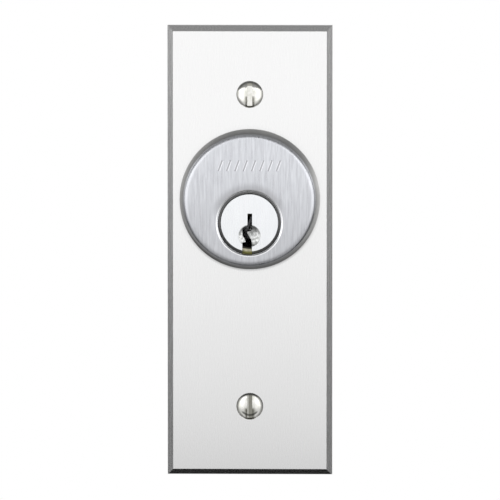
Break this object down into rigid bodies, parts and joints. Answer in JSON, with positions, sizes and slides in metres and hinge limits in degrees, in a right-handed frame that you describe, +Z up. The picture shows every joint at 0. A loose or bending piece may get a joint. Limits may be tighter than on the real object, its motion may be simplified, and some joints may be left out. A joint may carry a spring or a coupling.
{
  "type": "key switch",
  "caption": "Narrow wall key switch: bevelled faceplate with a pin tumbler mortise cylinder, whose cam rocks the roller levers of snap-action switches behind.",
  "frame": {"origin": "centre of the mounting screw pair, in the wall plane that the faceplate's back face lies on", "axes": "+Z up along the faceplate's height, +X to the user's right, +Y into the wall, the front faces -Y"},
  "size_m": [0.0418, 0.039, 0.1142],
  "materials": {
    "faceplate": "fine satin anodised",
    "cylinder": "satin chrome plate, brushed upright",
    "plug": "satin chrome plate on the face, brass behind",
    "nickel": "bright nickel plate",
    "brass": "turned brass",
    "zinc": "zinc plate",
    "cam_steel": "case hardened steel",
    "spring_steel": "bare spring wire",
    "fibre": "pressed fibre sheet",
    "case": "moulded thermoset, fine matte",
    "button": "moulded, glossy",
    "nylon": "moulded nylon",
    "blade": "beryllium copper leaf",
    "terminal": "tin plated brass"
  },
  "bodies": {
    "housing": {"faceplate": "faceplate", "screw_top": "nickel", "screw_bottom": "nickel", "cylinder_shell": "cylinder", "chamber_cap": "brass", "lock_ring": "zinc", "switch_bracket": "zinc", "insulator_sheet": "fibre", "switch_screws": "zinc", "pin_spring_1": "spring_steel", "pin_spring_2": "spring_steel", "pin_spring_3": "spring_steel", "pin_spring_4": "spring_steel", "pin_spring_5": "spring_steel", "switch_base_left": "case", "switch_cover_left": "case", "hinge_pin_left": "zinc", "snap_blade_left": "blade", "terminal_common_left": "terminal", "terminal_nc_left": "terminal", "terminal_no_left": "terminal", "switch_base_right": "case", "switch_cover_right": "case", "hinge_pin_right": "zinc", "snap_blade_right": "blade", "terminal_common_right": "terminal", "terminal_nc_right": "terminal", "terminal_no_right": "terminal"},
    "plug": {"cylinder_plug": "plug", "cam": "cam_steel", "cam_screws": "zinc"},
    "lever_arm_left": {"lever_left": "spring_steel", "roller_pin_left": "zinc"},
    "roller_wheel_left": {"roller_left": "nylon"},
    "push_button_left": {"plunger_left": "button"},
    "lever_arm_right": {"lever_right": "spring_steel", "roller_pin_right": "zinc"},
    "roller_wheel_right": {"roller_right": "nylon"},
    "push_button_right": {"plunger_right": "button"},
    "key_pin_1": {"bottom_pin_1": "brass"},
    "top_pin_1": {"driver_pin_1": "brass"},
    "key_pin_2": {"bottom_pin_2": "brass"},
    "top_pin_2": {"driver_pin_2": "brass"},
    "key_pin_3": {"bottom_pin_3": "brass"},
    "top_pin_3": {"driver_pin_3": "brass"},
    "key_pin_4": {"bottom_pin_4": "brass"},
    "top_pin_4": {"driver_pin_4": "brass"},
    "key_pin_5": {"bottom_pin_5": "brass"},
    "top_pin_5": {"driver_pin_5": "brass"}
  },
  "joints": [
    {"name": "plug_turn", "type": "hinge", "parent": "housing", "child": "plug", "pos_m": [0, 0, 0.00735], "axis": [0, 1, 0], "range_deg": [-60, 60]},
    {"name": "lever_swing_left", "type": "hinge", "parent": "housing", "child": "lever_arm_left", "pos_m": [-0.0074, 0.0234, -0.0254], "axis": [0, 1, 0], "range_deg": [-3.65, 3.65]},
    {"name": "button_push_left", "type": "slide", "parent": "housing", "child": "push_button_left", "axis": [1, 0, 0], "range_m": [-0.00051, 0.00051], "deforming": ["snap_blade_left"]},
    {"name": "roller_spin_left", "type": "hinge", "parent": "lever_arm_left", "child": "roller_wheel_left", "pos_m": [-0.0112, 0.0234, 0.00735], "axis": [0, 1, 0], "continuous": true},
    {"name": "lever_swing_right", "type": "hinge", "parent": "housing", "child": "lever_arm_right", "pos_m": [0.0074, 0.0234, -0.0254], "axis": [0, 1, 0], "range_deg": [-3.65, 3.65]},
    {"name": "button_push_right", "type": "slide", "parent": "housing", "child": "push_button_right", "axis": [1, 0, 0], "range_m": [-0.00051, 0.00051], "deforming": ["snap_blade_right"]},
    {"name": "roller_spin_right", "type": "hinge", "parent": "lever_arm_right", "child": "roller_wheel_right", "pos_m": [0.0112, 0.0234, 0.00735], "axis": [0, 1, 0], "continuous": true},
    {"name": "key_pin_drop_1", "type": "slide", "parent": "plug", "child": "key_pin_1", "axis": [0, 0, 1], "range_m": [-0.002, 0]},
    {"name": "top_pin_lift_1", "type": "slide", "parent": "housing", "child": "top_pin_1", "axis": [0, 0, 1], "range_m": [0, 0.002], "stiffness_N_per_m": 60, "springref_m": -0.004, "deforming": ["pin_spring_1"]},
    {"name": "key_pin_drop_2", "type": "slide", "parent": "plug", "child": "key_pin_2", "axis": [0, 0, 1], "range_m": [-0.002, 0]},
    {"name": "top_pin_lift_2", "type": "slide", "parent": "housing", "child": "top_pin_2", "axis": [0, 0, 1], "range_m": [0, 0.002], "stiffness_N_per_m": 60, "springref_m": -0.004, "deforming": ["pin_spring_2"]},
    {"name": "key_pin_drop_3", "type": "slide", "parent": "plug", "child": "key_pin_3", "axis": [0, 0, 1], "range_m": [-0.002, 0]},
    {"name": "top_pin_lift_3", "type": "slide", "parent": "housing", "child": "top_pin_3", "axis": [0, 0, 1], "range_m": [0, 0.002], "stiffness_N_per_m": 60, "springref_m": -0.004, "deforming": ["pin_spring_3"]},
    {"name": "key_pin_drop_4", "type": "slide", "parent": "plug", "child": "key_pin_4", "axis": [0, 0, 1], "range_m": [-0.002, 0]},
    {"name": "top_pin_lift_4", "type": "slide", "parent": "housing", "child": "top_pin_4", "axis": [0, 0, 1], "range_m": [0, 0.002], "stiffness_N_per_m": 60, "springref_m": -0.004, "deforming": ["pin_spring_4"]},
    {"name": "key_pin_drop_5", "type": "slide", "parent": "plug", "child": "key_pin_5", "axis": [0, 0, 1], "range_m": [-0.002, 0]},
    {"name": "top_pin_lift_5", "type": "slide", "parent": "housing", "child": "top_pin_5", "axis": [0, 0, 1], "range_m": [0, 0.002], "stiffness_N_per_m": 60, "springref_m": -0.004, "deforming": ["pin_spring_5"]}
  ],
  "couplings": [
    {"joint": "lever_swing_left", "follows": "plug_turn", "ratio": -0.06},
    {"joint": "button_push_left", "follows": "plug_turn", "m_per_rad": -0.00048},
    {"joint": "lever_swing_right", "follows": "plug_turn", "ratio": -0.06},
    {"joint": "button_push_right", "follows": "plug_turn", "m_per_rad": -0.00048}
  ]
}
